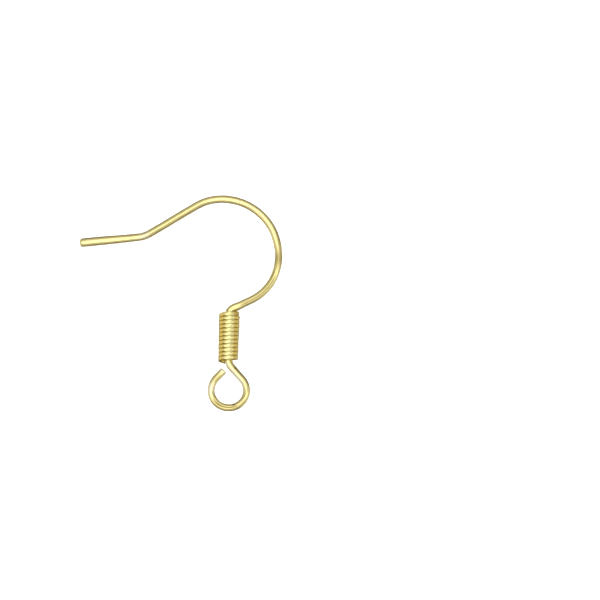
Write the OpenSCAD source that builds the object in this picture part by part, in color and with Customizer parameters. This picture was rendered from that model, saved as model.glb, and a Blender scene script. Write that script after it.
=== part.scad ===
// A French hook ear wire: one bent round wire, with a wound coil threaded on its shank.
// It lies on a surface as it comes to rest by itself. X runs from the tail to the crook,
// Y from the eye to the crook's top, and Z up from the surface, under the middle of the part.
// A heading is the wire's direction as it is walked from the tail: 0 is to the right, 90 is up.

/* [Wire] */
// Diameter of the hook's wire
wire_d = 0.7; // [0.5:0.05:0.8]

/* [Tail] */
// Diameter of the tail's last stretch, a little thicker than the wire
tail_tip_d = 0.8; // [0.8:0.05:1]
// Length of that thicker stretch, from the tip
tail_tip_len = 1.6; // [1:0.1:3]
// Length of the straight tail
tail_len = 5.6; // [4:0.1:8]
// Rounding of the tail's tip
tail_round = 0.2; // [0.05:0.05:0.35]
// Heading of the tail
tail_heading = 6.5; // [0:0.5:15]
// Bend between the tail and the slope, measured on the centreline
tail_bend_r = 2.1; // [1:0.1:3]

/* [Crook] */
// Length of the straight slope
slope_len = 5.15; // [3:0.05:7]
// Heading of the slope
slope_heading = 30.5; // [20:0.5:45]
// Radius where the slope turns into the crook, measured on the centreline
crook_entry_r = 4.5; // [3:0.05:6]
// Heading at which the crook's top starts
crook_top_heading = 0.5; // [-10:0.5:10]
// Radius over the top of the crook
crook_top_r = 5.35; // [4:0.05:7]
// Heading at which the crook's back starts
crook_back_heading = -73.5; // [-100:0.5:-50]
// Radius down the back of the crook
crook_back_r = 4.85; // [3.5:0.05:6]
// Heading of the return, which runs from the crook to the shank
return_heading = -155.5; // [-165:0.5:-135]
// Length of the straight return
return_len = 1.45; // [0.8:0.05:3]
// Bend at the shoulder, where the return turns down into the shank
shoulder_r = 0.75; // [0.6:0.05:1.5]

/* [Shank and coil] */
// Heading of the shank
shank_heading = -90.5; // [-100:0.5:-80]
// Diameter of the coil's wire
coil_wire_d = 0.36; // [0.25:0.01:0.45]
// Turns of the coil
coil_turns = 12; // [6:1:16]
// Gap between one turn and the next
turn_gap = 0.01; // [0.01:0.01:0.1]
// Clearance between the shank and the inside of the coil
coil_clearance = 0.22; // [0.15:0.01:0.3]
// How far the coil reaches over the bend at each end of the shank
coil_reach = 0.3; // [0:0.05:0.35]

/* [Eye] */
// Bend at the neck, below the coil
neck_r = 1; // [0.8:0.05:1.5]
// Heading of the neck
neck_heading = -48.5; // [-55:0.5:-40]
// Inside diameter of the open eye
eye_d = 2.55; // [1.8:0.05:4]
// How far the wire turns round the eye
eye_turn = 266; // [255:1:275]
// Gap between the wire's cut end and the neck
eye_gap = 0.35; // [0.2:0.05:0.6]
// How far back past the straight neck the wire's cut end points
lip_back = 0.2; // [0:0.05:0.3]
// Rounding of the cut end
lip_round = 0.08; // [0.02:0.02:0.2]

/* [Hidden] */
$fn = 64;

// Sides of the coil wire's section, and rings along each of its turns
COIL_SIDES = 8;
COIL_RINGS = 20;
// Points that are worked out round each bend
BEND_STEPS = 45;
// Angle by which a bend is made too long before it is cut square
BEND_SPARE = 4;

wire_r = wire_d / 2;
tail_tip_r = tail_tip_d / 2;
eye_r = (eye_d + wire_d) / 2;

coil_wire_r = coil_wire_d / 2;
coil_r = wire_r + coil_clearance + coil_wire_r;
coil_pitch = coil_wire_d + turn_gap;
coil_len = coil_turns * coil_pitch + coil_wire_d;
shank_len = coil_len - 2 * coil_reach;

// The lip is the straight end that closes the eye. It stops short of the neck, and the neck is long
// enough for the lip to clear the coil.
lip_len = (eye_r * (1 - cos(eye_turn)) - wire_r - eye_gap) / -sin(eye_turn);
neck_len = -eye_r * sin(eye_turn) - lip_len * cos(eye_turn) - lip_back;

// One row for each stretch of the wire, from the tail to the cut end:
// its straight length, then the radius of the bend after it, then that bend's turn to the left.
STRAIGHT = 0;
RADIUS = 1;
TURN = 2;
SHANK_ROW = 5;
bends = [
    [tail_len, tail_bend_r, slope_heading - tail_heading],
    [slope_len, crook_entry_r, crook_top_heading - slope_heading],
    [0, crook_top_r, crook_back_heading - crook_top_heading],
    [0, crook_back_r, return_heading - crook_back_heading],
    [return_len, shoulder_r, shank_heading - return_heading],
    [shank_len, neck_r, neck_heading - shank_heading],
    [neck_len, eye_r, -eye_turn],
    [lip_len, 0, 0],
];

// A point on the centreline and the heading there are kept as [x, y, heading].
function heading(h) = [cos(h), sin(h), 0];
function left_of(h) = [-sin(h), cos(h), 0];
function ahead(at, len) = at + len * heading(at[2]);
function turned(at, r, turn) =
    let (side = sign(turn) * r)
    at + side * (left_of(at[2]) - left_of(at[2] + turn)) + [0, 0, turn];

// The start of each row
starts = [
    for (k = 0, at = [0, 0, tail_heading];
         k < len(bends);
         at = turned(ahead(at, bends[k][STRAIGHT]), bends[k][RADIUS], bends[k][TURN]), k = k + 1)
        at
];

// Points of the centreline round every bend
bend_points = [
    for (k = [0 : len(bends) - 1])
        let (at = ahead(starts[k], bends[k][STRAIGHT]))
        for (step = [0 : BEND_STEPS])
            let (p = turned(at, bends[k][RADIUS], bends[k][TURN] * step / BEND_STEPS))
            [p.x, p.y, 0]
];

// The coil's middle lies at the shank's middle. Both ends of its wire are at its underside.
shank_middle = ahead(starts[SHANK_ROW], shank_len / 2);
coil_middle = [shank_middle.x, shank_middle.y, 0];
coil_top_end = coil_middle - coil_turns * coil_pitch / 2 * heading(shank_heading) - [0, 0, coil_r];

// At rest the ear wire touches the surface with its tail, its crook and the coil's top end. Each
// touch is a ball as thick as the wire there, and the surface is the plane that lies under all three.
// up is that plane's upward direction: as much to_crook and to_coil as their balls' sizes differ,
// and the rest of it square to both.
tail_touch = tail_round * heading(tail_heading);
crook_angle = max([for (p = bend_points) atan2(p.y, p.x)]);
crook_touch = [for (p = bend_points) if (atan2(p.y, p.x) == crook_angle) p][0];
to_crook = crook_touch - tail_touch;
to_coil = coil_top_end - tail_touch;
crook_rise = wire_r - tail_tip_r;
coil_rise = coil_wire_r - tail_tip_r;
crook_crook = to_crook * to_crook;
coil_coil = to_coil * to_coil;
crook_coil = to_crook * to_coil;
spread = crook_crook * coil_coil - crook_coil * crook_coil;
lean = (crook_rise * coil_coil - coil_rise * crook_coil) / spread * to_crook
    + (coil_rise * crook_crook - crook_rise * crook_coil) / spread * to_coil;
square_to_both = cross(to_coil, to_crook) / norm(cross(to_coil, to_crook));
up = lean + sqrt(1 - lean * lean) * square_to_both;
tilt = acos(up.z);
tilt_axis = cross(up, [0, 0, 1]) / norm(cross(up, [0, 0, 1]));
function tilted(p) =
    p * cos(tilt) + cross(tilt_axis, p) * sin(tilt) + tilt_axis * (tilt_axis * p) * (1 - cos(tilt));

// The middle of the tilted part's box, seen from above, at the height of the surface
tip_edge = tail_touch + (tail_tip_r - tail_round) * left_of(tail_heading);
outer_points = [for (p = bend_points) tilted(p)];
x_low = tilted(tip_edge).x - tail_round;
x_high = max([for (p = outer_points) p.x]) + wire_r;
y_low = min([for (p = outer_points) p.y]) - wire_r;
y_high = max([for (p = outer_points) p.y]) + wire_r;
foot = [(x_low + x_high) / 2, (y_low + y_high) / 2, tilted(tail_touch).z - tail_tip_r];

// Lays the flat-drawn part down as it rests, with its foot at the origin.
module at_rest() {
    translate(-foot)
        rotate(a = tilt, v = tilt_axis)
            children();
}

// A round rod along X from the origin. Its start is rounded, and past start_len it tapers to end_r.
module rod(start_r, start_len, end_r, length, rounding) {
    rotate([0, 90, 0])
        rotate_extrude() {
            translate([start_r - rounding, rounding])
                intersection() {
                    circle(r = rounding);
                    translate([0, -rounding]) square(rounding);
                }
            square([start_r - rounding, rounding]);
            polygon([
                [0, rounding],
                [start_r, rounding],
                [start_r, start_len],
                [end_r, length],
                [0, length],
            ]);
        }
}

// Moves what follows a bend from the bend's start to its end. It is done as a round number and then
// the small rest, which keeps all the digits of both, so that the next stretch meets the bend truly.
module after_bend(r, turn) {
    end = [r * sin(abs(turn)), sign(turn) * r * (1 - cos(turn)), 0];
    round_end = [for (c = end) round(c * 1000) / 1000];
    translate(round_end) translate(end - round_end) rotate(turn) children();
}

// A bend from the origin, heading along X. It is made a little too long and cut square where the
// next stretch starts, so that the two faces are the same circle.
module bend(r, turn) {
    difference() {
        translate([0, sign(turn) * r, 0])
            rotate(-90 * sign(turn))
                rotate_extrude(angle = turn + sign(turn) * BEND_SPARE)
                    translate([r, 0]) circle(r = wire_r);
        after_bend(r, turn)
            translate([0, -wire_d, -wire_d]) cube(2 * wire_d);
    }
}

// The wire from one row of the table to its cut end
module wire_from(k) {
    if (k == 0)
        rod(tail_tip_r, tail_tip_len, wire_r, tail_len, tail_round);
    else if (k == len(bends) - 1)
        translate([lip_len, 0, 0]) rotate(180) rod(wire_r, lip_len, wire_r, lip_len, lip_round);
    else if (bends[k][STRAIGHT] > 0)
        rotate([0, 90, 0]) cylinder(r = wire_r, h = bends[k][STRAIGHT]);
    if (k < len(bends) - 1)
        translate([bends[k][STRAIGHT], 0, 0]) {
            bend(bends[k][RADIUS], bends[k][TURN]);
            after_bend(bends[k][RADIUS], bends[k][TURN]) wire_from(k + 1);
        }
}

// One bent wire: tail, slope, crook, return, shank, neck and eye
module hook_wire() {
    color("khaki") at_rest() rotate(tail_heading) wire_from(0);
}

// A point of the coil wire's surface. The wire winds round Z as a right-handed screw, from its
// underside, and each ring of its section stands square to it.
function coil_point(ring, side) =
    let (
        rings = coil_turns * COIL_RINGS,
        wound = 360 * ring / COIL_RINGS,
        out = [cos(wound), sin(wound), 0],
        along = [-2 * PI * coil_r * sin(wound), 2 * PI * coil_r * cos(wound), coil_pitch],
        across = cross(out, along / norm(along)),
        round = 360 * side / COIL_SIDES
    )
    coil_r * out + [0, 0, coil_pitch * coil_turns * (ring / rings - 0.5)]
    + coil_wire_r * (cos(round) * out + sin(round) * across);

// The wound spring, one helical wire with flat cut ends
module coil() {
    rings = coil_turns * COIL_RINGS;
    points = [
        for (ring = [0 : rings])
            for (side = [0 : COIL_SIDES - 1])
                coil_point(ring, side)
    ];
    walls = [
        for (ring = [0 : rings - 1])
            for (side = [0 : COIL_SIDES - 1])
                let (next = (side + 1) % COIL_SIDES, a = ring * COIL_SIDES, b = a + COIL_SIDES)
                [a + side, a + next, b + next, b + side]
    ];
    first_end = [for (side = [COIL_SIDES - 1 : -1 : 0]) side];
    last_end = [for (side = [0 : COIL_SIDES - 1]) rings * COIL_SIDES + side];
    color("gold")
        at_rest()
            translate(coil_middle)
                rotate(shank_heading + 180)
                    rotate([0, 90, 0])
                        polyhedron(points, concat(walls, [first_end, last_end]));
}

hook_wire();
coil();
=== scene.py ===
"""A gold plated ear wire: a hook of bent, drawn wire with a wound coil on its shank, lying on a pale floor.

Lengths are worked out in millimetres and become metres when a mesh is made. A heading is the wire's
direction in degrees as it is walked from the tail: 0 is to the right, 90 is up the page.
"""

import math

import bpy
import numpy as np
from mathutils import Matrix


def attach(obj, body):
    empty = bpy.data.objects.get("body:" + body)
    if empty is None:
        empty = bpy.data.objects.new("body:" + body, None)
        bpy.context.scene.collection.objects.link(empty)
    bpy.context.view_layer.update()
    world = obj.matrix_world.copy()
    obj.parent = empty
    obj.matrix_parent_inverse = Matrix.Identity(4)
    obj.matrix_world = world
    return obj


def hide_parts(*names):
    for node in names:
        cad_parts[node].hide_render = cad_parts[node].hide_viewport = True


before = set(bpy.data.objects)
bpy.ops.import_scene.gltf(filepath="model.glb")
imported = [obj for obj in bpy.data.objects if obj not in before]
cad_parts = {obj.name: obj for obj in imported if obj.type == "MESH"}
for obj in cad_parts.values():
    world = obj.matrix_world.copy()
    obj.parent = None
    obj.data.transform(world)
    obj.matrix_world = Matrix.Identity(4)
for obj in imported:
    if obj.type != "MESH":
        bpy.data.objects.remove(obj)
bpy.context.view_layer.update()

MM = 0.001
FULL_TURN = 2 * math.pi

# The hook wire, in mm and degrees
WIRE_R = 0.35
TAIL_TIP_R = 0.4
TAIL_TIP_LEN = 1.6
TAIL_LEN = 5.6
TAIL_HEADING = 6.5
SHANK_HEADING = -90.5
NECK_HEADING = -48.5
# The eye's width inside, how far the wire turns round it, the gap between the cut end and the neck, and how
# far back past the straight neck the cut end points
EYE_D = 2.55
EYE_TURN = 266
EYE_GAP = 0.35
LIP_BACK = 0.2
EYE_WIRE_R = 0.34
# The length over which the wire thins to EYE_WIRE_R past the neck
EYE_TAPER = 1

# The coil, in mm, with the gap between its turns, its clearance round the shank, and how far it reaches over
# the bend at each end of the shank
COIL_WIRE_R = 0.18
COIL_TURNS = 12
TURN_GAP = 0.01
COIL_CLEARANCE = 0.22
COIL_REACH = 0.3
COIL_R = WIRE_R + COIL_CLEARANCE + COIL_WIRE_R
COIL_PITCH = 2 * COIL_WIRE_R + TURN_GAP
# It is wound this much tighter than COIL_R, to leave room for its wavers. Each waver has a size in mm, and
# a rate and a start in radians.
COIL_TIGHT = 0.012
COIL_WAVERS = [(0.005, 0.37, 0.6), (0.004, 1.13, 2.1)]
# Its last turns, at the shoulder, are wound this much wider, and lie on the surface like the others.
COIL_LOOSE = 0.045
# It has slid this far up the shank from the middle of its play, and hangs this much askew on it, in mm of
# shift per mm of height.
COIL_SLID = 0.04
COIL_SKEW = 0.017
# Its last part of a turn, where the wire was cut off, is pushed up and tucked in by this much. The cutter
# spread the wire there by COIL_END_SPREAD along the coil, in full from SPREAD_TURNS before the end.
COIL_END_TURNS = 0.5
COIL_END_RISE = 0.02
COIL_END_TUCK = 0.15
COIL_END_SPREAD = 0.02
SPREAD_TURNS = 0.3
# The winding pressed its wire a little square: 2 would be round.
COIL_SQUARENESS = 5.6

# The lip is the straight end that closes the eye. It stops short of the neck, and the neck is long enough
# for the lip to clear the coil.
EYE_R = EYE_D / 2 + WIRE_R
ROUND_EYE = math.radians(EYE_TURN)
LIP_LEN = (EYE_R * (1 - math.cos(ROUND_EYE)) - WIRE_R - EYE_GAP) / -math.sin(ROUND_EYE)
NECK_LEN = -EYE_R * math.sin(ROUND_EYE) - LIP_LEN * math.cos(ROUND_EYE) - LIP_BACK
SHANK_LEN = COIL_TURNS * COIL_PITCH + 2 * COIL_WIRE_R - 2 * COIL_REACH
# Each row: name, straight length, radius of the bend after it, and the heading past that bend
STRETCHES = [
    ("tail", TAIL_LEN, 2.1, 30.5),
    ("slope", 5.15, 4.5, 0.5),
    ("crook top", 0, 5.35, -73.5),
    ("crook back", 0, 4.85, -155.5),
    ("return", 1.45, 0.75, SHANK_HEADING),
    ("shank", SHANK_LEN, 1, NECK_HEADING),
    ("neck", NECK_LEN, EYE_R, NECK_HEADING - EYE_TURN),
]

# The grid of each piece, with the distance between its rings in mm
HOOK_SIDES, HOOK_RING_GAP = 96, 0.06
COIL_SIDES, COIL_RING_GAP = 28, 0.075
# The rounding of each end: its depth in mm, the power of its curve, and its rings
TAIL_END = (0.26, 2.3, 16)
LIP_END = (0.14, 2.7, 10)
COIL_END = (0.05, 3.0, 6)
# The wire's direction at a point is taken from this far before it to this far past it, in mm.
HOOK_STEP, COIL_STEP = 0.02, 0.01
# The depth in mm of the fine lines that the drawing die leaves
HOOK_LINE_DEPTH, COIL_LINE_DEPTH = 0.006, 0.003


def heading_of(degrees):
    """Unit vector along a heading."""
    turned = np.radians(degrees)
    return np.stack([np.cos(turned), np.sin(turned)], -1)


def left_of(degrees):
    """Unit vector to the left of a heading."""
    return heading_of(np.asarray(degrees) + 90.0)


def on_page(flat):
    """Points or directions of the flat drawing, with a height of 0."""
    return np.concatenate([flat, np.zeros(flat.shape[:-1] + (1,))], -1)


def walk():
    """Where each straight and each bend begins: distance, point, heading, and turn in degrees per mm. Then
    the distance at which each named stretch starts, and the whole wire's length."""
    rows, at, heading, distance = [], np.zeros(2), TAIL_HEADING, 0.0
    starts = {}
    for name, length, radius, next_heading in STRETCHES:
        starts[name] = distance
        rows.append((distance, *at, heading, 0.0))
        at = at + length * heading_of(heading)
        distance += length
        turn = next_heading - heading
        side = math.copysign(radius, turn)
        rows.append((distance, *at, heading, math.degrees(1 / side)))
        at = at + side * (left_of(heading) - left_of(next_heading))
        distance += abs(math.radians(turn)) * radius
        heading = next_heading
    rows.append((distance, *at, heading, 0.0))
    return np.array(rows), starts, distance + LIP_LEN


ROWS, STARTS, WIRE_LEN = walk()


def row_at(distance):
    """Which of ROWS each distance lies in. Past an end it is the first or the last."""
    return np.clip(np.searchsorted(ROWS[:, 0], distance, side="right") - 1, 0, len(ROWS) - 1)


def on_arcs(distance):
    """Point of the drawn centreline at each distance. Along a straight it is the start plus the way gone.
    Round a bend it is the start plus (left of the first heading - left of the heading now) / curvature."""
    row = row_at(distance)
    gone = distance - ROWS[row, 0]
    heading, turn = ROWS[row, 3], ROWS[row, 4]
    bent = turn != 0
    curvature = np.radians(np.where(bent, turn, 1.0))[..., None]
    round_bend = (left_of(heading) - left_of(heading + turn * gone)) / curvature
    straight = gone[..., None] * heading_of(heading)
    return ROWS[row, 1:3] + np.where(bent[..., None], round_bend, straight)


# Places round each bend, in BEND_STEPS steps, the middle of the shank, and two directions in the drawing
BEND_STEPS = 45
BENDS = on_page(on_arcs(np.linspace(ROWS[1::2, 0], ROWS[2::2, 0], BEND_STEPS + 1).ravel()))
SHANK_MIDDLE = on_page(on_arcs(np.array([STARTS["shank"] + SHANK_LEN / 2])))[0]
UP_SHANK = -on_page(heading_of(SHANK_HEADING))
UNDER = np.array([0.0, 0.0, -1.0])
# The tail's tip is rounded by TAIL_ROUND, and the tail touches the surface that far from its tip.
TAIL_ROUND = 0.2
TAIL_TOUCH = TAIL_ROUND * on_page(heading_of(TAIL_HEADING))


def upward_from_surface():
    """The surface's upward direction in the drawing. The ear wire touches the surface with its tail, with its
    crook, where that is seen highest from the tail's tip, and with the coil's upper end. Each touch is a ball
    as thick as the wire there. So, measured upward, the way from the tail's ball to each other ball rises by
    the difference of their radii. The shortest vector of which that is true comes from the pseudoinverse of
    the two ways, and the rest of upward is square to both."""
    crook = BENDS[np.argmax(np.arctan2(BENDS[:, 1], BENDS[:, 0]))]
    coil_end = SHANK_MIDDLE + COIL_TURNS * COIL_PITCH / 2 * UP_SHANK + COIL_R * UNDER
    ways = np.stack([crook, coil_end]) - TAIL_TOUCH
    shortest = np.linalg.pinv(ways) @ (np.array([WIRE_R, COIL_WIRE_R]) - TAIL_TIP_R)
    square = np.cross(ways[1], ways[0])
    return shortest + math.sqrt(1 - shortest @ shortest) * square / np.linalg.norm(square)


# The flat-drawn ear wire leans by LEAN about LEAN_AXIS, so that upward becomes Z.
UPWARD = upward_from_surface()
LEAN = math.acos(UPWARD[2])
LEAN_AXIS = np.cross(UNDER, UPWARD) / math.sin(LEAN)


def leaned(vectors):
    """Turns vectors by the lean about its axis: v cos(lean) + (axis x v) sin(lean)
    + axis (axis . v) (1 - cos(lean)), for every vector v."""
    along_axis = (vectors @ LEAN_AXIS)[..., None] * LEAN_AXIS
    return (
        vectors * math.cos(LEAN)
        + np.cross(LEAN_AXIS, vectors) * math.sin(LEAN)
        + along_axis * (1 - math.cos(LEAN))
    )


def place_of_drawing():
    """Where the leaned drawing's start lies: the origin is under the middle of the ear wire's box, which goes
    from the edge of the tail's tip to the crook's back, and from the eye to the crook's top."""
    tip_edge = TAIL_TOUCH + (TAIL_TIP_R - TAIL_ROUND) * on_page(left_of(TAIL_HEADING))
    bends = leaned(BENDS)
    low, high = bends.min(0) - WIRE_R, bends.max(0) + WIRE_R
    low[0] = leaned(tip_edge)[0] - TAIL_ROUND
    surface = leaned(TAIL_TOUCH)[2] - TAIL_TIP_R
    return -np.append((low + high)[:2] / 2, surface)


SHIFT = place_of_drawing()


def lay_down(points):
    """Flat-drawn points, turned by the lean and moved to their place."""
    return leaned(points) + SHIFT


# Springy wire doesn't turn into a bend at once, so each point is the mean of EASE_STEPS places over this
# length of wire.
EASE = 0.5
EASE_STEPS = 9
# The wire springs off its true line a little. Each bow has a middle, a half length and a shift in mm to the
# left of the wire's heading.
BOWS = [
    (0.0, 2.2, 0.035),
    (5.0, 2.2, -0.05),
    (8.0, 1.5, -0.04),
    (21.3, 1.2, -0.04),
    (25.7, 1.9, 0.08),
    (28.6, 0.5, 0.025),
    (30.0, 0.6, -0.05),
    (38.2, 1.6, 0.03),
]


def centreline(distance):
    """Mean of the drawn centreline over EASE mm of wire, shifted sideways by the bell curves of the bows."""
    steps = np.linspace(-EASE / 2, EASE / 2, EASE_STEPS)
    line = on_arcs(distance[:, None] + steps).mean(1)
    row = row_at(distance)
    heading = ROWS[row, 3] + ROWS[row, 4] * (distance - ROWS[row, 0])
    shift = sum(sideways * np.exp(-(((distance - middle) / half) ** 2)) for middle, half, sideways in BOWS)
    return line + shift[:, None] * left_of(heading)


def blend(x, low, high):
    """Smooth step from 0 at low to 1 at high."""
    t = np.clip((x - low) / (high - low), 0, 1)
    return t * t * (3 - 2 * t)


def rounded_end(depth, power, rings):
    """Distances from a wire's end and shares of its radius there: a quarter of a superellipse.
    A higher power gives a flatter end with a sharper edge."""
    quarter = np.linspace(0, math.pi / 2, rings + 1)[1:-1]
    return depth * (1 - np.cos(quarter) ** (2 / power)), np.sin(quarter) ** (2 / power)


def tube(name, centres, across, upward, radii, place, finish):
    """Carries a closed section along a path. Point (i, j) is centre i + radius ij times
    (cos a across i + sin a upward i), with a = j / sides of a full turn. A pole closes each end.
    The attribute wire_place holds place, each point's spot in the drawn wire, in mm, and finish names other
    attributes, each a grid of numbers from 0 to 1."""
    rings, sides = radii.shape
    angle = FULL_TURN * np.arange(sides) / sides
    out = (
        np.cos(angle)[None, :, None] * across[:, None, :]
        + np.sin(angle)[None, :, None] * upward[:, None, :]
    )
    surface = centres[1:-1, None, :] + radii[..., None] * out[1:-1]
    points = np.concatenate([centres[:1], surface.reshape(-1, 3), centres[-1:]])
    ring = 1 + sides * np.arange(rings - 1)[:, None]
    side = np.arange(sides)[None, :]
    next_side = (side + 1) % sides
    walls = np.stack([ring + side, ring + next_side, ring + sides + next_side, ring + sides + side], -1)
    last = 1 + sides * (rings - 1)
    first_cap = np.stack([np.zeros(sides, int), 1 + next_side[0], 1 + side[0]], -1)
    last_cap = np.stack([np.full(sides, len(points) - 1), last + side[0], last + next_side[0]], -1)
    faces = walls.reshape(-1, 4).tolist() + first_cap.tolist() + last_cap.tolist()
    mesh = bpy.data.meshes.new(name)
    mesh.from_pydata((points * MM).tolist(), [], faces)
    mesh.polygons.foreach_set("use_smooth", np.ones(len(mesh.polygons), bool))
    spot = np.concatenate([place[:1, 0], place[1:-1].reshape(-1, 3), place[-1:, 0]])
    mesh.attributes.new("wire_place", "FLOAT_VECTOR", "POINT").data.foreach_set(
        "vector", spot.astype(np.float32).ravel()
    )
    for kind, grid in finish.items():
        values = np.concatenate([grid[:1, 0], grid[1:-1].ravel(), grid[-1:, 0]])
        mesh.attributes.new(kind, "FLOAT", "POINT").data.foreach_set("value", values.astype(np.float32))
    mesh.update()
    piece = bpy.data.objects.new(name, mesh)
    bpy.context.scene.collection.objects.link(piece)
    return piece


def ring_places(length, gap, near_end, far_end):
    """Distances of the rings along a wire, from pole to pole, and each ring's share of the radius. The rings
    are evenly spaced, about gap apart, between the two rounded ends."""
    near_at, near_share = rounded_end(*near_end)
    far_at, far_share = rounded_end(*far_end)
    first, last = near_at[-1] + gap, length - far_at[-1] - gap
    middle = np.linspace(first, last, int(round((last - first) / gap)) + 1)
    distance = np.concatenate([[0], near_at, middle, length - far_at[::-1], [length]])
    share = np.concatenate([near_share, np.ones(len(middle)), far_share[::-1]])
    return distance, share


# How often each wave of the draw lines repeats round the wire. Each drifts round it by about DRAW_DRIFT
# radians per mm, and sways by DRAW_SWAY radians to each side, by a sine that goes on by one radian in a
# length between the two of DRAW_WANDER, in mm.
DRAW_COUNTS = np.array([5, 7, 9, 12, 16, 21])
DRAW_DRIFT, DRAW_SWAY, DRAW_WANDER = 0.25, 0.8, (3, 7)


def draw_lines(angle, distance, depth, seed):
    """Depth in mm of the fine lines that the drawing die leaves along a wire, from 0 to depth: a sum of sine
    waves round the section. A wave that repeats count times round the wire is 1 / count as deep."""
    random = np.random.default_rng(seed)
    total = np.zeros(np.broadcast(angle, distance).shape)
    for count in DRAW_COUNTS:
        start, drift = random.uniform(0, FULL_TURN), random.normal(0, DRAW_DRIFT)
        wander = random.uniform(*DRAW_WANDER)
        phase = start + drift * distance + DRAW_SWAY * np.sin(distance / wander + start)
        total = total + np.sin(count * angle + phase) / count
    return depth * (total / np.sum(1 / DRAW_COUNTS) + 1) / 2


# Marks that bending leaves on the hook. Along the wire the return starts at 27.8 mm, the shoulder bend at
# 29.3, the shank at 30.1, the bend at the neck at 34.3, the eye at 36.6 and the lip at 44.1. A line runs from
# one distance to another along the wire, in mm, at a place across its top from -1 at its right edge to 1 at
# its left. It has a width and a depth in mm, and a share from 0 to 1 by which its bottom is painted with the
# dull, dark colour: painted shade in the groove, on plating that the jaws dulled. A wide line without that
# colour is a flat from the jaws.
TOOL_LINES = [
    (24.0, 29.2, 0.26, 0.12, 0.028, 0.75),
    (25.4, 29.2, -0.14, 0.06, 0.006, 0.3),
    (28.2, 31.6, 0.15, 0.34, 0.036, 0.0),
    (34.9, 37.4, 0.55, 0.26, 0.014, 0.5),
    (36.4, 39.2, -0.5, 0.24, 0.012, 0.22),
    (38.9, 42.4, 0.02, 0.13, 0.026, 0.9),
    (40.2, 42.2, 0.1, 0.13, 0.014, 0.7),
    (38.4, 42.0, -0.6, 0.08, 0.006, 0.3),
    (38.4, 41.8, 0.55, 0.06, 0.006, 0.3),
    (43.4, 44.9, -0.1, 0.1, 0.012, 0.4),
    (44.0, 47.0, 0.0, 0.36, 0.042, 0.0),
]
# A line fades out over this length at its ends. It sways across the top by LINE_SWAY to each side, by
# SWAY_RATE radians per mm, and one line's sway is ahead of the next one's by SWAY_LEAD radians times the
# difference of their places.
LINE_FADE = 1
LINE_SWAY, SWAY_RATE, SWAY_LEAD = 0.04, 1.3, 9
# A pit has a distance, a place across the top, a width and a depth, and is painted with the dull, dark
# colour: a dulled speck with painted shade in it. A dark patch has a middle, a half length and a strength,
# and darkens and dulls the wire all the way round there. A wear and highlight patch has a place across the
# top and a half width there before its strength. A half width of 9 takes in the wire all the way round. It
# paints the plating pale and satin: partly worn plating, partly a painted highlight where the wire catches
# more light.
PITS = [(39.77, -0.8, 0.28, 0.06), (41.5, 0.8, 0.12, 0.02), (35.45, 0.62, 0.2, 0.03)]
DARK_PATCHES = [(22.8, 0.8, 0.52), (40.3, 1.6, 0.03)]
WEAR_AND_HIGHLIGHT_PATCHES = [
    (6.0, 0.5, 0.0, 9.0, 0.4),
    (36.1, 1.7, -0.9, 0.5, 1.0),
    (43.0, 0.55, 0.4, 1.4, 0.7),
    (45.05, 0.35, 0.0, 9.0, 0.4),
]
# The wire swells by this much inside the tight shoulder bend, round this distance, over this half length.
SHOULDER_SWELL, SHOULDER_MIDDLE, SHOULDER_HALF = 0.06, 29.3, 0.6


def tool_marks(angle, distance):
    """Depth of the lines and pits in mm, the share of the dull, dark colour from 0 to 1, which is dulled
    plating and painted shade, and the share of the pale colour from 0 to 1, which is worn plating and painted
    highlight. A line is a bell curve across the wire that fades smoothly at its ends, and a patch is a bell
    curve along the wire."""
    across_top, above = np.cos(angle), np.sin(angle) > 0
    depth = np.zeros(np.broadcast(angle, distance).shape)
    clear, clear_of_wear_and_highlight = np.ones(depth.shape), np.ones(depth.shape)
    for start, stop, spot, width, deep, dulled_shaded_bottom in TOOL_LINES:
        swayed = spot + LINE_SWAY * np.sin(SWAY_RATE * distance + SWAY_LEAD * spot)
        line = above * np.exp(-(((across_top - swayed) * WIRE_R / (width / 2)) ** 2))
        line = line * blend(distance, start, start + LINE_FADE)
        line = line * (1 - blend(distance, stop - LINE_FADE, stop))
        depth = depth + deep * line
        # The line's bottom takes the dull, dark colour: painted shade in the groove, on dulled plating.
        clear = clear * (1 - dulled_shaded_bottom * line)
    for middle, spot, width, deep in PITS:
        off = np.hypot(distance - middle, (across_top - spot) * WIRE_R)
        pit = above * np.exp(-((off / (width / 2)) ** 2))
        depth = depth + deep * pit
        # The pit takes the dull, dark colour: a dulled speck with painted shade in it.
        clear = clear * (1 - pit)
    for middle, half, strength in DARK_PATCHES:
        clear = clear * (1 - strength * np.exp(-(((distance - middle) / half) ** 2)))
    for middle, half, spot, half_across, strength in WEAR_AND_HIGHLIGHT_PATCHES:
        bell = ((distance - middle) / half) ** 2 + ((across_top - spot) / half_across) ** 2
        # Pale colour: partly worn plating, partly a painted highlight.
        clear_of_wear_and_highlight = clear_of_wear_and_highlight * (1 - strength * np.exp(-bell))
    return depth, 1 - clear, 1 - clear_of_wear_and_highlight


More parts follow.
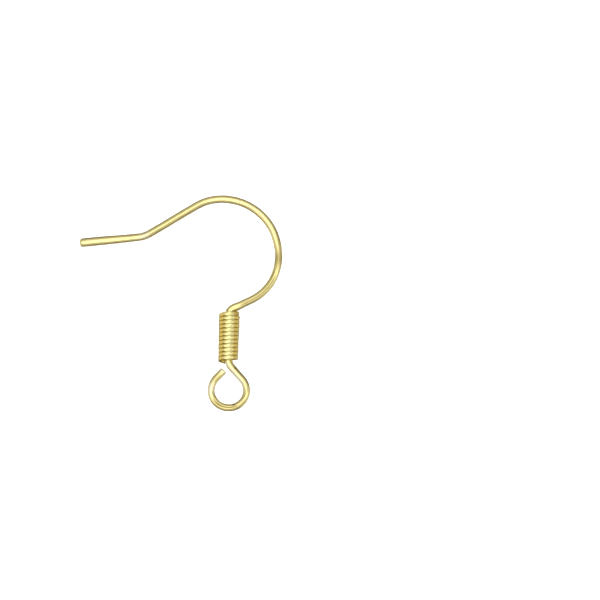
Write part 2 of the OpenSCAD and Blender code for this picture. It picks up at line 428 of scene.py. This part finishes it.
def make_hook_wire():
    """The bent wire: a round section carried along the centreline. Its radius falls from the tail's tip to
    the plain wire and a little more at the eye, less the draw lines and the tool marks. It grows inside the
    shoulder bend by a bell curve along the wire times the squared cosine of the angle from the left."""
    distance, share = ring_places(WIRE_LEN, HOOK_RING_GAP, TAIL_END, LIP_END)
    flat = centreline(distance)
    step = centreline(distance + HOOK_STEP) - centreline(distance - HOOK_STEP)
    forward = step / np.linalg.norm(step, axis=1, keepdims=True)
    across = leaned(on_page(np.column_stack([-forward[:, 1], forward[:, 0]])))
    upward = np.broadcast_to(leaned(-UNDER), across.shape)
    angle = FULL_TURN * np.arange(HOOK_SIDES)[None, :] / HOOK_SIDES
    depth, dulling_and_shade, wear_and_highlight = tool_marks(angle, distance[:, None])
    inner = distance[1:-1, None]
    radius = (
        TAIL_TIP_R
        - (TAIL_TIP_R - WIRE_R) * blend(inner, TAIL_TIP_LEN, TAIL_LEN)
        - (WIRE_R - EYE_WIRE_R) * blend(inner, STARTS["neck"], STARTS["neck"] + EYE_TAPER)
    )
    swell = SHOULDER_SWELL * np.exp(-(((inner - SHOULDER_MIDDLE) / SHOULDER_HALF) ** 2))
    swell = swell * np.clip(np.cos(angle), 0, 1) ** 2
    lines = draw_lines(angle, inner, HOOK_LINE_DEPTH, seed=7)
    radii = (radius - lines - depth[1:-1] + swell) * share[:, None]
    place = np.stack(
        np.broadcast_arrays(WIRE_R * np.cos(angle), WIRE_R * np.sin(angle), distance[:, None]), -1
    )
    # The dull, dark share holds painted shade in the tool lines and pits, and the pale share holds wear and
    # painted highlights.
    finish = {"dulling_and_shade": dulling_and_shade, "wear_and_highlight": wear_and_highlight}
    return tube("ear_wire_hook", lay_down(on_page(flat)), across, upward, radii, place, finish)


# How the coil's colour is painted: painted shade in its grooves, on its flanks and under the shoulder, and a
# painted highlight along its top. Places across the coil run from 0 at its top to 1 at its left edge and -1
# at its right, and strengths from 0 to 1. A groove is where the wire's side, by the sine of the angle round
# its section, faces its neighbour.
GROOVE_FROM, GROOVE_TO = 0.4, 0.75
# Painted shade: a dark colour in the grooves halfway down each flank, stronger on the left, where the turns
# mirror a dark part of the room, and on the cut end, which lies in the shade under the shoulder, in full from
# a given part of a turn before it.
GROOVE_SHADE_LEFT, GROOVE_SHADE_RIGHT, END_SHADE = 0.9, 0.25, 0.35
GROOVE_SHADE_PLACE, GROOVE_SHADE_HALF = 0.5, 0.11
END_SHADE_TURNS = 0.35
# A painted highlight: a pale band along the coil, a little to the right of its top, where it mirrors the
# softbox above, strongest in the grooves, whose shade it lightens.
HIGHLIGHT_ALL_OVER, HIGHLIGHT_IN_GROOVES = 0.12, 0.75
HIGHLIGHT_MIDDLE, HIGHLIGHT_FULL, HIGHLIGHT_EDGE = -0.16, 0.18, 0.52
# Painted shade: the flanks are painted a deeper gold, the colour of light bounced between the turns, which
# gets weaker again towards the coil's edges.
FLANK_SHADE_FROM, FLANK_SHADE_FULL = 0.3, 0.6
FLANK_SHADE_LOSS, FLANK_SHADE_LOSS_FROM, FLANK_SHADE_LOSS_TO = 0.6, 0.7, 0.95


def coil_wear(angle, wound, turns):
    """Painted shade in the grooves and on the cut end, a painted highlight along the top, and a deeper gold
    painted on the flanks as shade, each from 0 to 1: smooth steps and bell curves of the place across the
    coil, which is the sine of the angle wound, and of the turns wound."""
    across_coil = np.sin(wound)
    flank = np.abs(across_coil)
    groove = blend(np.abs(np.sin(angle)), GROOVE_FROM, GROOVE_TO)
    # Painted shade: dark colour in the grooves, stronger on the left flank.
    groove_shade = np.where(across_coil > 0, GROOVE_SHADE_LEFT, GROOVE_SHADE_RIGHT)
    dulling_and_shade = groove * groove_shade * np.exp(-(((flank - GROOVE_SHADE_PLACE) / GROOVE_SHADE_HALF) ** 2))
    # Painted shade on the last half turn, which lies in the shade under the shoulder.
    near_end = blend(turns, COIL_TURNS - COIL_END_TURNS, COIL_TURNS - END_SHADE_TURNS)
    dulling_and_shade = np.maximum(dulling_and_shade, END_SHADE * near_end)
    # Painted highlight: a pale band along the top, strongest in the grooves.
    highlight_band = 1 - blend(np.abs(across_coil - HIGHLIGHT_MIDDLE), HIGHLIGHT_FULL, HIGHLIGHT_EDGE)
    wear_and_highlight = (HIGHLIGHT_ALL_OVER + HIGHLIGHT_IN_GROOVES * groove) * highlight_band
    # Painted shade: a deeper gold on the flanks, and on the end under the shoulder.
    deep = blend(flank, FLANK_SHADE_FROM, FLANK_SHADE_FULL) * (1 - FLANK_SHADE_LOSS * blend(flank, FLANK_SHADE_LOSS_FROM, FLANK_SHADE_LOSS_TO))
    deep = np.broadcast_to(np.maximum(deep, near_end), dulling_and_shade.shape)
    return {"dulling_and_shade": dulling_and_shade, "wear_and_highlight": wear_and_highlight, "deep": deep}


def make_coil():
    """The wound spring: a squarish section carried along a helix about the shank, right-handed, from its
    underside at the neck to its underside at the shoulder. Its radius wavers a little from turn to turn, as
    hand-fed winding does. The section is a superellipse: its radius is COIL_WIRE_R times
    (|cos a| ** n + |sin a| ** n) ** (-1 / n), with n for COIL_SQUARENESS."""
    wire_len = COIL_TURNS * math.hypot(FULL_TURN * COIL_R, COIL_PITCH)
    distance, share = ring_places(wire_len, COIL_RING_GAP, COIL_END, COIL_END)
    west = -on_page(left_of(SHANK_HEADING))

    def helix(at):
        """Middle + h up + radius (under cos w + west sin w) - under loose - west skew h, for the angle wound
        w. West is to the left on the page, and up is along the shank. The height h is the pitch times the
        turns, from the coil's middle, plus the slide, and the radius is the coil's plus the wavers and
        loose. Near the end h grows and the radius falls."""
        turns = COIL_TURNS * at / wire_len
        wound = FULL_TURN * turns
        pushed = blend(turns, COIL_TURNS - COIL_END_TURNS, COIL_TURNS)
        height = COIL_PITCH * (turns - COIL_TURNS / 2) + COIL_SLID + COIL_END_RISE * pushed
        loose = COIL_LOOSE * blend(at / wire_len, 0, 1)
        waver = sum(size * np.sin(rate * wound + start) for size, rate, start in COIL_WAVERS)
        radius = COIL_R - COIL_TIGHT + waver + loose - COIL_END_TUCK * pushed
        out = np.cos(wound)[:, None] * UNDER + np.sin(wound)[:, None] * west
        aside = -loose[:, None] * UNDER - COIL_SKEW * height[:, None] * west
        return SHANK_MIDDLE + aside + height[:, None] * UP_SHANK + radius[:, None] * out, out

    flat, out = helix(distance)
    step = helix(distance + COIL_STEP)[0] - helix(distance - COIL_STEP)[0]
    forward = step / np.linalg.norm(step, axis=1, keepdims=True)
    out = out - (out * forward).sum(1, keepdims=True) * forward
    out = out / np.linalg.norm(out, axis=1, keepdims=True)
    across = np.cross(forward, out)
    angle = FULL_TURN * np.arange(COIL_SIDES)[None, :] / COIL_SIDES
    power = COIL_SQUARENESS
    squarish = (np.abs(np.cos(angle)) ** power + np.abs(np.sin(angle)) ** power) ** (-1 / power)
    turns = COIL_TURNS * distance[:, None] / wire_len
    spread = COIL_END_SPREAD * blend(turns[1:-1], COIL_TURNS - COIL_END_TURNS, COIL_TURNS - SPREAD_TURNS)
    spread = spread * np.abs(np.sin(angle))
    lines = draw_lines(angle, distance[1:-1, None], COIL_LINE_DEPTH, seed=11)
    radii = (COIL_WIRE_R * squarish + spread - lines) * share[:, None]
    place = np.stack(
        np.broadcast_arrays(COIL_WIRE_R * np.cos(angle), COIL_WIRE_R * np.sin(angle), distance[:, None]), -1
    )
    finish = coil_wear(angle, FULL_TURN * turns, turns)
    return tube("ear_wire_coil", lay_down(flat), leaned(out), leaned(across), radii, place, finish)


def hex_colour(code):
    """Linear RGBA of an sRGB hex value."""
    srgb = np.array([int(code[i : i + 2], 16) for i in (1, 3, 5)]) / 255
    linear = np.where(srgb <= 0.04045, srgb / 12.92, ((srgb + 0.055) / 1.055) ** 2.4)
    return (*linear.tolist(), 1.0)


def add_node(tree, kind, settings=(), inputs=()):
    """Adds a node, sets its properties, and fills its sockets with values or with other nodes' outputs."""
    made = tree.nodes.new(kind)
    for name, value in dict(settings).items():
        setattr(made, name, value)
    for name, value in dict(inputs).items():
        if isinstance(value, bpy.types.NodeSocket):
            tree.links.new(value, made.inputs[name])
        else:
            made.inputs[name].default_value = value
    return made


# Sockets of a Mix node for colours: its two colours going in, and the one coming out
MIX_A, MIX_B, MIX_RESULT = 6, 7, 2

# The deeper gold painted on the coil's flanks as painted shade, and the roughness of dulled plating and of
# worn plating, which also goes where shade and highlights are painted
FLANK_SHADE_GOLD = "#F4DC7C"
DULL_AND_SHADE_ROUGHNESS, WEAR_AND_HIGHLIGHT_ROUGHNESS = 0.5, 0.55


def plated_gold(name, pale, deep, dark_dulling_and_shade, pale_wear_and_highlight, roughness, line_width):
    """Brass wire, drawn through a die, bent, barrel polished and plated with gold.
    The drawing leaves fine lines along the wire that blur a reflection sideways only, and the polishing
    leaves soft, uneven gloss and a colour that is a little deeper in some places than in others. The dull,
    dark colour is for dulled plating and painted shade, and the pale colour is for worn plating and painted
    highlights."""
    material = bpy.data.materials.new(name)
    material.use_nodes = True
    tree = material.node_tree
    tree.nodes.clear()
    place = add_node(tree, "ShaderNodeAttribute", {"attribute_name": "wire_place"})
    # One line is line_width mm wide and runs on for about 30 times that. Real draw lines are finer, and are
    # drawn coarser here so that they show.
    stretched = add_node(
        tree,
        "ShaderNodeMapping",
        inputs={
            "Vector": place.outputs["Vector"],
            "Scale": (1 / line_width, 1 / line_width, 1 / (30 * line_width)),
        },
    )
    lines = add_node(
        tree,
        "ShaderNodeTexNoise",
        inputs={"Vector": stretched.outputs["Vector"], "Scale": 1.0, "Detail": 3.0, "Roughness": 0.6},
    )
    # Patches of the plating's colour and gloss are about 1.5 mm long.
    patches = add_node(
        tree,
        "ShaderNodeTexNoise",
        inputs={"Vector": place.outputs["Vector"], "Scale": 0.7, "Detail": 2.0, "Roughness": 0.5},
    )
    colour = add_node(
        tree,
        "ShaderNodeMix",
        {"data_type": "RGBA"},
        {"Factor": patches.outputs["Fac"], MIX_A: hex_colour(pale), MIX_B: hex_colour(deep)},
    )
    # The lines make the gloss a fifth finer to a quarter rougher than the wire's own.
    gloss = add_node(
        tree,
        "ShaderNodeMapRange",
        inputs={
            "Value": lines.outputs["Fac"],
            "From Min": 0.3,
            "From Max": 0.7,
            "To Min": roughness * 0.8,
            "To Max": roughness * 1.25,
        },
    )
    # Each painted layer covers the ones before it where its attribute is 1: a deeper gold painted on the
    # coil's flanks as shade, then the dull, dark colour of dulled plating and painted shade, then the pale
    # colour of worn plating and painted highlights. The hook has no attribute named deep, so it reads 0
    # there.
    base_colour, base_roughness = colour.outputs[MIX_RESULT], gloss.outputs["Result"]
    for finish, its_colour, its_roughness in (
        ("deep", FLANK_SHADE_GOLD, None),
        ("dulling_and_shade", dark_dulling_and_shade, DULL_AND_SHADE_ROUGHNESS),
        ("wear_and_highlight", pale_wear_and_highlight, WEAR_AND_HIGHLIGHT_ROUGHNESS),
    ):
        amount = add_node(tree, "ShaderNodeAttribute", {"attribute_name": finish}).outputs["Fac"]
        coloured = add_node(
            tree,
            "ShaderNodeMix",
            {"data_type": "RGBA"},
            {"Factor": amount, MIX_A: base_colour, MIX_B: hex_colour(its_colour)},
        )
        base_colour = coloured.outputs[MIX_RESULT]
        if its_roughness is not None:
            roughened = add_node(
                tree,
                "ShaderNodeMix",
                {"data_type": "FLOAT"},
                {"Factor": amount, "A": base_roughness, "B": its_roughness},
            )
            base_roughness = roughened.outputs["Result"]
    # The lines are 0.004 mm deep at the most.
    bump = add_node(
        tree,
        "ShaderNodeBump",
        inputs={"Strength": 0.25, "Distance": 0.004 * MM, "Height": lines.outputs["Fac"]},
    )
    surface = add_node(
        tree,
        "ShaderNodeBsdfPrincipled",
        inputs={
            "Base Color": base_colour,
            "Metallic": 1.0,
            "Roughness": base_roughness,
            "Normal": bump.outputs["Normal"],
        },
    )
    add_node(tree, "ShaderNodeOutputMaterial", inputs={"Surface": surface.outputs["BSDF"]})
    return material


hook = make_hook_wire()
hook_gold = plated_gold(
    "plated_gold_hook",
    pale="#F6ECAA",
    deep="#F0E29E",
    # Dull, dark colour for dulled plating and painted shade, and pale colour for worn plating and painted
    # highlights.
    dark_dulling_and_shade="#806A1F",
    pale_wear_and_highlight="#FFFCEA",
    roughness=0.25,
    line_width=0.07,
)
hook.data.materials.append(hook_gold)
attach(hook, "root")
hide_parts("hook_wire")

coil = make_coil()
coil_gold = plated_gold(
    "plated_gold_coil",
    pale="#FCF3AE",
    deep="#F6E494",
    # Dull, dark colour for painted shade in the grooves and at the end, and pale colour for the painted
    # highlight along the top.
    dark_dulling_and_shade="#8A6A1E",
    pale_wear_and_highlight="#FBFACD",
    roughness=0.25,
    line_width=0.05,
)
coil.data.materials.append(coil_gold)
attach(coil, "root")
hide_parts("coil")


def make_floor():
    """A round white sweep: a flat disc that curves up into a wall, a profile turned about the Z axis.
    Radius and height follow the profile's flat, its quarter circle and its wall."""
    first_r, flat_r, cove_r, wall = 0.02, 0.5, 0.3, 1.0
    flat = np.linspace(first_r, flat_r, 12)[:-1]
    quarter = np.linspace(0, math.pi / 2, 24)
    radius = np.concatenate([flat, flat_r + cove_r * np.sin(quarter), [flat_r + cove_r]])
    height = np.concatenate([np.zeros(len(flat)), cove_r * (1 - np.cos(quarter)), [wall]])
    sides = 96
    angle = FULL_TURN * np.arange(sides) / sides
    rings = np.stack(
        [
            radius[:, None] * np.cos(angle),
            radius[:, None] * np.sin(angle),
            np.broadcast_to(height[:, None], (len(radius), sides)),
        ],
        -1,
    )
    points = np.concatenate([[[0, 0, 0]], rings.reshape(-1, 3)])
    ring = 1 + sides * np.arange(len(radius) - 1)[:, None]
    side = np.arange(sides)[None, :]
    next_side = (side + 1) % sides
    walls = np.stack([ring + side, ring + sides + side, ring + sides + next_side, ring + next_side], -1)
    middle = np.stack([np.zeros(sides, int), 1 + side[0], 1 + next_side[0]], -1)
    mesh = bpy.data.meshes.new("floor")
    mesh.from_pydata(points.tolist(), [], walls.reshape(-1, 4).tolist() + middle.tolist())
    mesh.polygons.foreach_set("use_smooth", np.ones(len(mesh.polygons), bool))
    floor = bpy.data.objects.new("floor", mesh)
    bpy.context.scene.collection.objects.link(floor)
    return floor


floor = make_floor()
# White background paper, uncoated, so it is matt with hardly any sheen.
paper = bpy.data.materials.new("white_paper")
paper.use_nodes = True
sheet = paper.node_tree.nodes["Principled BSDF"]
sheet.inputs["Base Color"].default_value = hex_colour("#F4F4F2")
sheet.inputs["Roughness"].default_value = 0.9
sheet.inputs["Specular IOR Level"].default_value = 0.2
floor.data.materials.append(paper)
# The metal mirrors the dark room and the softboxes, and not the paper, so its edges stay dark.
floor.visible_glossy = False
floor.visible_shadow = False


def softbox(name, azimuth, elevation, distance, width, height, radiance):
    """A rectangle of soft white light that faces the object. Azimuth 0 is up the page and 90 to the right,
    and elevation is above the floor. Its power is radiance times pi times its area."""
    light = bpy.data.lights.new(name, "AREA")
    light.shape = "RECTANGLE"
    light.size, light.size_y = width, height
    light.energy = radiance * math.pi * width * height
    lamp = bpy.data.objects.new(name, light)
    azimuth, elevation = math.radians(azimuth), math.radians(elevation)
    lamp.location = (
        distance * math.sin(azimuth) * math.cos(elevation),
        distance * math.cos(azimuth) * math.cos(elevation),
        distance * math.sin(elevation),
    )
    lamp.rotation_euler = lamp.location.to_track_quat("Z", "Y").to_euler()
    lamp.visible_camera = False
    bpy.context.scene.collection.objects.link(lamp)
    return lamp


# The lights that the metal mirrors stand this far away, in metres. Each row: name, azimuth, elevation, width,
# height and radiance.
LIGHT_DISTANCE = 0.8
for name, azimuth, elevation, width, height, radiance in [
    ("softbox_above", -166, 85, 0.53, 1.36, 1.2),
    ("softbox_above_left", -87, 62, 0.24, 0.48, 1.92),
    ("softbox_left", -96, 16, 1.07, 0.91, 0.5),
    ("softbox_right", 92, 49, 0.19, 0.42, 2.27),
    ("softbox_front", -166, 37, 1.58, 1.68, 0.35),
    ("softbox_back", 5, 32, 1.87, 0.88, 0.34),
    ("pale_wall_right", 105, -2, 1.18, 1.92, 0.43),
    ("pale_wall_left", -77, -31, 0.91, 0.7, 0.42),
]:
    softbox(name, azimuth, elevation, LIGHT_DISTANCE, width, height, radiance)
# This one lights the paper alone.
paper_light = softbox(
    "paper_light", azimuth=0, elevation=90, distance=1.2, width=2.5, height=2.5, radiance=1.6
)
paper_light.visible_glossy = False

world = bpy.data.worlds.new("dim_room")
world.use_nodes = True
room = world.node_tree.nodes["Background"]
room.inputs["Color"].default_value = hex_colour("#817869")
room.inputs["Strength"].default_value = 1.0
bpy.context.scene.world = world
bpy.context.scene.view_settings.view_transform = "Standard"

# The camera looks down on the ear wire, 83 degrees above the floor, through a long lens. The frame is
# 600 pixels of 1 / 10.8 mm wide, and its middle is AIM on the floor, to the right of the ear wire.
PIXELS, PIXELS_PER_MM = 600, 10.8
ELEVATION = math.radians(83)
AIM_RIGHT, AIM_UP = 11.02, 0.39
AIM = np.array([AIM_RIGHT, AIM_UP / math.sin(ELEVATION), 0]) * MM
CAMERA_DISTANCE = 0.45
camera_data = bpy.data.cameras.new("camera")
camera_data.lens = camera_data.sensor_width * CAMERA_DISTANCE / (PIXELS / PIXELS_PER_MM * MM)
camera_data.clip_start, camera_data.clip_end = 0.01, 10
camera = bpy.data.objects.new("camera", camera_data)
camera.location = AIM + CAMERA_DISTANCE * np.array([0, -math.cos(ELEVATION), math.sin(ELEVATION)])
camera.rotation_euler = (math.pi / 2 - ELEVATION, 0, 0)
bpy.context.scene.collection.objects.link(camera)
bpy.context.scene.camera = camera
